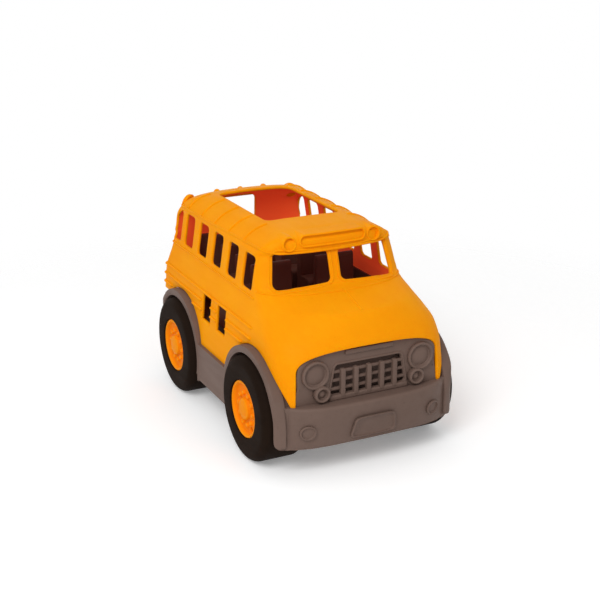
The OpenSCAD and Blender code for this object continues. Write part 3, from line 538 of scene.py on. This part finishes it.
for k in range(5):
    verts, faces = swept(np.linspace(62.0, 85.4, 20), 1.2,
                         lambda s, p, q: np.stack([(k - 2) * bar_pitch + p, q, s], -1),
                         round_section(-2.0, 2.0, -126.9, -122.8, 0.9))
    piece(f"grille_bar_{k + 1}", verts, faces, "bus", "trim", taupe)
slat_pitch = 6.94
for k in range(3):
    z = 67.5 + slat_pitch * k
    verts, faces = swept(np.linspace(-34.0, 34.0, 40), 0.6, lambda s, p, q: np.stack([s, p, q], -1),
                         round_section(-123.9, -121.7, z, z + 2.6, 0.7))
    piece(f"grille_slat_{k + 1}", verts, faces, "bus", "trim", taupe)
for name, reach, r, box in (("grille_lip", 35.0, 1.2, (-126.6, -121.7, 60.0, 64.4)),
                            ("grille_ridge", 21.0, 0.7, (-126.0, -122.5, 96.2, 100.2)),
                            ("grille_back", 50.0, 0.6, (-116.6, -115.0, 61.0, 96.0))):
    verts, faces = swept(np.linspace(-reach, reach, 40), r, lambda s, p, q: np.stack([s, p, q], -1),
                         round_section(*box, r))
    piece(name, verts, faces, "bus", "trim", taupe)
ring = dense(round_section(-32.6, 32.6, 63.4, 89.6, 3.6, 12), 8)
x = ring[:, 0] * grille_half(ring[:, 1]) / 31
line = np.stack([x, panel_face(x), ring[:, 1]], 1)
verts, faces = bead(line, np.tile([[0.0, -1.0, 0.0]], (len(line), 1)), 1.8, 0.8, True)
piece("grille_rim", verts, faces, "bus", "trim", taupe)

# Body shell: one thin injection moulding of nearly opaque yellow-orange plastic, about 2.5 mm thick, with
# hood, posts, roof border and rear wall in one piece. It sits on the sills and is screwed on from below. Its
# lining is painted a redder orange than the skin and given a weak glow. Both are painted light that stands in
# for daylight that comes through the thin wall.


def hermite(x, xs, ys):
    """Cubic through the rows ys at xs, with harmonic-mean slopes so that it never overshoots."""
    h = np.diff(xs)
    d = np.diff(ys, axis=0) / h[:, None]
    total = d[:-1] + d[1:]
    inner = np.where(d[:-1] * d[1:] > 0, 2 * d[:-1] * d[1:] / np.where(total == 0, 1, total), 0)
    m = np.vstack([d[:1], inner, d[-1:]])
    k = np.clip(np.searchsorted(xs, x, side="right") - 1, 0, len(h) - 1)
    t = ((x - xs[k]) / h[k])[:, None]
    g = h[k][:, None]
    low = (1 + 2 * t) * (1 - t) ** 2 * ys[k] + t * (1 - t) ** 2 * g * m[k]
    return low + t * t * (3 - 2 * t) * ys[k + 1] + t * t * (t - 1) * g * m[k + 1]


def roof_rows(s):
    """Contours of the roof, from the gutter (s = 1) to the ridge (s = 0): f is the share of the rise."""
    f = 1 - s ** 5
    return np.stack([161.5 + 14.5 * f, 60.5 * s, -64.5 + 22 * f ** 9, 19 * (1 - 0.42 * f), 2.4 + 0 * f,
                     129.5 - 40 * f ** 3, 17.5 + 7 * f], -1)


def contour(r, u):
    """Plan of a contour row: u runs from the nose (0) round the left side to the tail (3) and, negative,
    round the right side; rounded front for |u| below 1, straight side from 1 to 2, rounded tail above."""
    z, half, front, deep, square, back, rear = np.moveaxis(r, -1, 0)
    t = np.abs(u)
    a = np.radians(90) * (1 - np.clip(t, 0, 1))
    b = np.radians(90) * np.clip(t - 2, 0, 1)
    x = half * np.where(t <= 1, np.cos(a) ** (2 / square), np.cos(b) ** (2 / 2.4))
    y_front = front + deep - deep * np.sin(a) ** (2 / square)
    y_side = front + deep + (back - rear - front - deep) * np.clip(t - 1, 0, 1)
    y_back = back - rear + rear * np.sin(b) ** (2 / 2.4)
    y = np.where(t <= 1, y_front, np.where(t <= 2, y_side, y_back))
    return np.stack([np.sign(u) * x, y, z + 0 * x], -1)


def row_at(v, axis):
    """Contour row at an index (axis None) or at a height (axis 0), between the stored ones."""
    known = np.arange(len(rows)) if axis is None else rows[:, axis]
    return np.stack([np.interp(v, known, rows[:, c]) for c in range(7)], -1)


def shell_point(u, v):
    """Point of the outer skin: v picks the contour row, u the place on it."""
    return contour(row_at(v, None), u)


def shell_openings(p):
    """Distance from the nearest opening, negative inside one: side windows, the D-shaped rear quarter
    windows, panes, roof, rear window, slots, nose arch, wheel arches and the space over the rear panel."""
    x, y, z = np.moveaxis(p, -1, 0)
    ax = np.abs(x)
    d = [np.where(ax > 45, box_sdf(y, z, y0, y0 + 19.5, window_foot, window_top, 3.2), 99)
         for y0 in windows[:5]]
    sweep = np.where(z > 141.5, np.hypot(y - quarter_y, z - 141.5) - 16.5, -99)
    quarter = np.maximum(box_sdf(y, z, quarter_y, 125.0, window_foot, window_top, 3.2), sweep)
    d.append(np.where(ax > 25, quarter, 99))
    right, foot, top = 54.0 - (z - 133) * 0.152, 137.3 - (ax - 5.1) * 0.040, 160.4 + (ax - 5.7) * 0.045
    across, up = (ax - pane_in) / (right - pane_in) * pane_w, (z - foot) / (top - foot) * pane_h
    d.append(np.where(y < -45, box_sdf(across, up, 0, pane_w, 0, pane_h, 3.4), 99))
    d.append(np.where(z > 165, box_sdf(x, y, -34, 34, -12.5, 93.5, 7.0), 99))
    d.append(np.where(y > 105, box_sdf(x, z, -17.5, 17.5, 130.5, 162, 5.0), 99))
    d += [np.where(ax > 45, box_sdf(y, z, y0, y0 + 17.5, 83, 106, 1.0), 99) for y0 in windows[1:3]]
    high = np.maximum(z - 84.5, 0) / 18
    arch = ((ax / (61.5 + 0.9 * np.clip((84.5 - z) / 24.5, 0, 1))) ** 2.8 + high ** 2.8) ** (1 / 2.8)
    d.append(np.where(y < -100, (arch - 1) * 30, 99))
    d += [np.where(ax > 45, np.hypot(y - y_axle, z - axle_z) - wheel_arch, 99) for _, y_axle in wheels]
    d.append(np.where(y > 95, z - 83.5, 99))
    return np.minimum.reduce(d) - shell_lip


shell_orange = moulded("shell_orange", (0.90, 0.325, 0.0016), (0.84, 0.268, 0.0012), 0.52, 0.12, 0.03, 0.3)
# Painted light: the lining is a redder copy of the shell plastic with a weak glow, for daylight through the
# thin wall.
lining_painted_light = moulded("lining_painted_light", (0.95, 0.135, 0.028), (0.88, 0.110, 0.022), 0.55, 0.12, 0.04)
glow = lining_painted_light.node_tree.nodes["Principled BSDF"]
glow.inputs["Emission Color"].default_value = (0.17, 0.013, 0.005, 1)
glow.inputs["Emission Strength"].default_value = 1.0
# Contours of the body from the sill to the cowl: height, half width, foremost point, depth and squareness
# of the front rounding, rearmost point, depth of the rear rounding.
lower = np.array([
    [60, 78, -131.5, 45, 4.0, 131.5, 8],
    [89.67, 75.2, -131.5, 45, 3.6, 131.5, 8],
    [104.5, 73.8, -128.49, 45.9, 3.0, 131.5, 8],
    [114.5, 70.3, -122.5, 49.95, 2.6, 131.5, 8],
    [123.8, 66.8, -114.98, 57.15, 2.3, 131.5, 8],
    [127.8, 65.9, -103, 50.85, 2.2, 131.5, 8],
    [131.5, 65.2, -88.5, 38.7, 2.2, 131.5, 8],
    [135.2, 64.6, -73, 22.04, 2.4, 131.3, 8]])
z_low = np.concatenate([np.arange(60, 120, 2.4), np.arange(120, 135, 1.0), [135.2]])
rows_low = hermite(z_low, lower[:, 0], lower)
# The same from the cowl to just below the gutter.
z_mid = np.concatenate([[136.3], np.linspace(137.2, 160, 18)])
mid = np.array([
    lower[-1],
    [137.2, 64.3, -70.9, 19.95, 2.4, 131.2, 7],
    [152, 62.03, -65.71, 19.3, 2.4, 130.4, 7.6],
    [156.5, 61.34, -64.13, 19.2, 2.4, 130.2, 10.5],
    [160, 60.8, -62.9, 19, 2.4, 130, 15.5]])
rows_mid = hermite(z_mid, mid[:, 0], mid)
roof_steps = np.concatenate([np.linspace(1, 0.5, 26), np.linspace(0.42, 0, 6)])
rows = np.vstack([rows_low, rows_mid, roof_rows(roof_steps)])
windows = -48.5 + 32.1 * np.arange(6)
window_foot = 130.5
window_top = 158
quarter_y = 108.5
pane_in = 4.7
pane_w = 47
pane_h = 24
wheel_arch = 51.1
shell_lip = 0.7
shell_wall = 2.5
half_u = np.concatenate([np.linspace(0, 1, 65), np.linspace(1, 2, 125)[1:], np.linspace(2, 3, 37)[1:]])
u_line = np.concatenate([np.maximum(half_u, 1e-9), -half_u[-2:0:-1]])
v_line = np.arange(len(rows), dtype=float)
U, V, faces = pierced(shell_point, shell_openings, u_line, v_line, True, 0.002, 0.05)
verts, faces, lining = lined(shell_point, U, V, faces, shell_wall, shell_lip, 0.002, 0.05, 0, v_line[-1])
piece("shell", verts, faces, "bus", "shell", shell_orange, ["body_shell"], (lining_painted_light, lining))

# Beads on the shell: three rails and a belt round the sides and tail, a gutter round the roof, a line along
# the cowl, a crease down the hood, a raised line round each pane and ribs over the roof. All are half-round
# and moulded with the shell.


def around(z, w0, w1, n):
    """Path on the contour at height z and its outward normals: w is u counted on from the tail to 6 at the
    nose."""
    w = np.linspace(w0, w1, n, endpoint=w1 - w0 < 6)
    p = contour(row_at(z + 0 * w, 0), np.where(w <= 3, np.maximum(w, 1e-6), w - 6))
    step = np.roll(p, -1, 0) - np.roll(p, 1, 0) if w1 - w0 >= 6 else np.gradient(p, axis=0)
    return p, np.stack([step[:, 1], -step[:, 0], 0 * w], 1)


def along(z, y):
    """Place on the straight side at height z, as u."""
    _, _, front, deep, _, back, rear = row_at(z, 0)
    return 1 + (y - front - deep) / (back - rear - front - deep)


def header_y(x, z):
    """Front face of the body over the hood at x and z, from the contour at that height."""
    _, half, front, deep, square, _, _ = np.moveaxis(row_at(z, 0), -1, 0)
    k = np.clip(np.abs(x) / half, 0, 0.999)
    return front + deep - deep * (1 - k ** square) ** (1 / square)


rail_size = (2.6, 1.6)
rails = []
for z, spans in ((106.6, [(-69, None)]), (98.0, [(-69, -17.0), (1.7, 15.1), (33.8, None)]),
                 (90.0, [(-52, -17.0), (1.7, 15.1), (33.8, 56.5), (104, None)])):
    for y0, y1 in spans:
        w0 = along(z, y0)
        w1 = 6 - w0 if y1 is None else along(z, y1)
        n = int(20 + 60 * (w1 - w0))
        rails.append(bead(*around(z, w0, w1, n), *rail_size))
        if y1 is not None:
            rails.append(bead(*around(z, 6 - w1, 6 - w0, n), *rail_size))
piece("rails", *joined(rails), "bus", "shell", shell_orange)
belt_z = 126.5
w0 = along(belt_z, -58)
piece("belt", *bead(*around(belt_z, w0, 6 - w0, 300), 1.8, 1.0), "bus", "shell", shell_orange)
# Height of the gutter by its place round the roof, from the nose (0) to the tail (3): it is highest where
# the front rounding meets the sides.
turn = np.abs((np.arange(500) * 0.012 + 3) % 6 - 3)
rise = np.interp(turn, [0, 0.5, 0.7, 0.85, 1.0, 1.3, 1.7, 3],
                 [161.5, 161.8, 163.2, 164.2, 164.5, 163.4, 161.9, 161.3])
piece("gutter", *bead(*around(rise, 0, 6, 500), 2.2, 0.95, True), "bus", "shell", shell_orange)
piece("cowl_line", *bead(*around(132.6, 5.1, 6.9, 160), 1.6, 0.75), "bus", "shell", shell_orange)
z = np.linspace(133.4, 124.8, 30)
line = np.stack([0 * z, row_at(z, 0)[:, 2], z], 1)
step = np.gradient(line, axis=0)
verts, faces = bead(line, np.stack([0 * z, step[:, 2], -step[:, 1]], 1), 1.7, 0.75)
piece("hood_crease", verts, faces, "bus", "shell", shell_orange)
ring = dense(round_section(-2.2, 49.4, -2.0, 25.8, 6.0, 10), 8)
for side, hand in hands:
    z = 137.3 - ring[:, 0] * (0.04 - 0.0036 * ring[:, 1]) + ring[:, 1] * 0.963
    x = side * (pane_in + ring[:, 0] * (49.3 - (z - 133) * 0.152) / pane_w)
    line = np.stack([x, header_y(x, z), z], 1)
    tilt_x = (header_y(x + 0.1, z) - header_y(x - 0.1, z)) / 0.2
    tilt_z = (header_y(x, z + 0.1) - header_y(x, z - 0.1)) / 0.2
    verts, faces = bead(line, np.stack([tilt_x, -1 + 0 * x, tilt_z], 1), 1.7, 0.7, True)
    piece(f"screen_line_{hand}", verts, faces, "bus", "shell", shell_orange)
rib_size = (2.6, 1.2)
mirror = [-1, 1, 1]
ribs = []
for y in (-18.5, 11.0, 40.5, 70.0, 99.5):
    r = roof_rows(np.linspace(0.985, 0.3, 60))
    _, half, front, deep, square, back, rear = r.T
    nose, tail = np.clip((front + deep - y) / deep, 0, 1), np.clip((y - back + rear) / rear, 0, 1)
    x = half * (1 - nose ** square) ** (1 / square) * (1 - tail ** 2.4) ** (1 / 2.4)
    line = np.stack([x, y + 0 * x, r[:, 0]], 1)[x > 36]
    step = np.gradient(line, axis=0)
    out = np.stack([step[:, 2], 0 * step[:, 0], -step[:, 0]], 1)
    ribs += [bead(line, out, *rib_size), bead(line * mirror, out * mirror, *rib_size)]
piece("ribs", *joined(ribs), "bus", "shell", shell_orange)

# Sign, lamps and markers: a bare sign panel in a raised frame and two ringed lamps over the windscreen, two
# ringed lamps at the rear corners and three small domes on the rear of the roof. All are yellow-orange
# plastic, moulded with the shell.
a = np.linspace(0, 2 * math.pi, 240, endpoint=False)[:, None]
brim = np.array([[0, -14], [0, -13.7], [0, 0.2], [0, 0.6], [-0.15, 1.1], [-0.5, 1.45], [-1.0, 1.5],
                 [-1.4, 1.25], [-1.55, 0.6], [-1.6, -0.8], [-1.75, -1.15], [-2.2, -1.25]])
for name, cx, cz, reach, radius in (("sign", 0.0, 170.6, 24.4, 5.3),
                                    ("header_lamp_right", -37.6, 169.0, 0.0, 6.2),
                                    ("header_lamp_left", 37.6, 169.0, 0.0, 6.2)):
    profile = np.vstack([[-radius, -14], brim, [-radius * 0.6, -1.0], [-radius, -0.9]])[None]
    r = radius + profile[..., 0]
    x = cx + reach * np.clip(np.cos(a) * 6, -1, 1) * np.minimum(r / 2, 1) + r * np.cos(a)
    z = cz + r * np.sin(a)
    face = header_y(x if reach else cx, np.full_like(x, 166.0)) + 0.14 * (z - 167)
    verts = np.stack([x, face - profile[..., 1], z], -1)
    piece(name, verts, grid(240, profile.shape[1], True), "bus", "shell", shell_orange)
drum = np.array([[0, 0], [5.2, 0], [5.8, 0.2], [6.1, 0.8], [6.1, 3.0], [5.95, 3.7], [5.5, 4.1], [4.9, 4.0],
                 [4.6, 3.4], [4.3, 2.9], [2.5, 3.2], [0, 3.4]])
drum_scale = 1.16
for side, hand in hands:
    r, h, turn = revolve(drum, 72)
    r = drum_scale * r
    out = h - 0.4 - 0.3 * r * np.sin(turn)
    x, y = 50.4 + 0.85 * r * np.cos(turn) + 0.53 * out, 121.4 - 0.53 * r * np.cos(turn) + 0.85 * out
    verts = np.stack([side * x, y, 162.3 + r * np.sin(turn)], -1)
    piece(f"tail_lamp_{hand}", verts, grid(72, len(drum), True), "bus", "shell", shell_orange)
dome_radius = 3.0
dome = np.linspace(-0.6, math.pi / 2, 10)
dome = np.vstack([[0, -1.7], np.stack([dome_radius * np.cos(dome), dome_radius * np.sin(dome)], 1)])
for k, x0 in enumerate((-23.3, 0.0, 23.3)):
    r, h, turn = revolve(dome, 40)
    verts = np.stack([x0 + r * np.cos(turn), 121.5 + r * np.sin(turn), 168.5 + h], -1)
    piece(f"marker_{k + 1}", verts, grid(40, 11, True), "bus", "shell", shell_orange)

# Screws: zinc-plated steel, driven from below. Two hold the shell to the sills and four hold the seat deck
# to the floor.
coat("body_screws", steel)
coat("seat_screws", steel)

# Studio: a pale paper floor that fades into a white room, one soft lamp over the right-hand front of the bus
# and a camera at the photograph's angle.


def seen(tree):
    """Camera ray plus glossy ray plus transmission ray: 1 where a surface is looked at, straight or in a
    reflection, and 0 for the light that it sheds on the object."""
    ray = tree.nodes.new("ShaderNodeLightPath").outputs
    direct = Wire(tree, ray["Is Camera Ray"])
    return direct + Wire(tree, ray["Is Glossy Ray"]) + Wire(tree, ray["Is Transmission Ray"])


bpy.ops.mesh.primitive_plane_add(size=6)
floor = bpy.context.object
floor.name = "floor"
paper = bpy.data.materials.new("paper")
paper.use_nodes = True
tree = paper.node_tree
bsdf = tree.nodes["Principled BSDF"]
w = Wire(tree, tree.nodes.new("ShaderNodeTexCoord").outputs["Object"])
far = w.node("VectorMath", out=1, props={"operation": "LENGTH"}, i0=w)
tree.links.new(w.math("SUBTRACT", 1.9, far * 3.2, True).socket, bsdf.inputs["Alpha"])
tree.links.new((seen(tree) * 0.20).socket, bsdf.inputs["Emission Color"])
bsdf.inputs["Emission Strength"].default_value = 1.0
bsdf.inputs["Base Color"].default_value = (0.94, 0.94, 0.94, 1)
bsdf.inputs["Roughness"].default_value = 0.9
floor.data.materials.append(paper)
world = bpy.data.worlds.new("studio")
bpy.context.scene.world = world
world.use_nodes = True
tree = world.node_tree
tree.nodes["Background"].inputs["Color"].default_value = (1, 1, 1, 1)
tree.links.new((0.65 + 0.35 * seen(tree)).socket, tree.nodes["Background"].inputs["Strength"])
key = bpy.data.objects.new("key", bpy.data.lights.new("key", "AREA"))
key.data.energy = 9.6
key.data.size = 0.6
key.location = (-0.75, -0.75, 1.0)
key.rotation_euler = (Vector((0, 0, 0.08)) - key.location).to_track_quat("-Z", "Y").to_euler()
bpy.context.scene.collection.objects.link(key)
cam = bpy.data.objects.new("camera", bpy.data.cameras.new("camera"))
az, el = math.radians(-26.154), math.radians(19.231)
back = Vector((math.sin(az) * math.cos(el), -math.cos(az) * math.cos(el), math.sin(el)))
right = Vector((math.cos(az), math.sin(az), 0))
up = back.cross(right)
cam.matrix_world = Matrix((
    (right.x, up.x, back.x, -0.4226), (right.y, up.y, back.y, -0.8647), (right.z, up.z, back.z, 0.4337),
    (0, 0, 0, 1)))
cam.data.lens = 71.17
cam.data.sensor_width = 36
bpy.context.scene.collection.objects.link(cam)
bpy.context.scene.camera = cam
bpy.context.scene.view_settings.view_transform = "Standard"
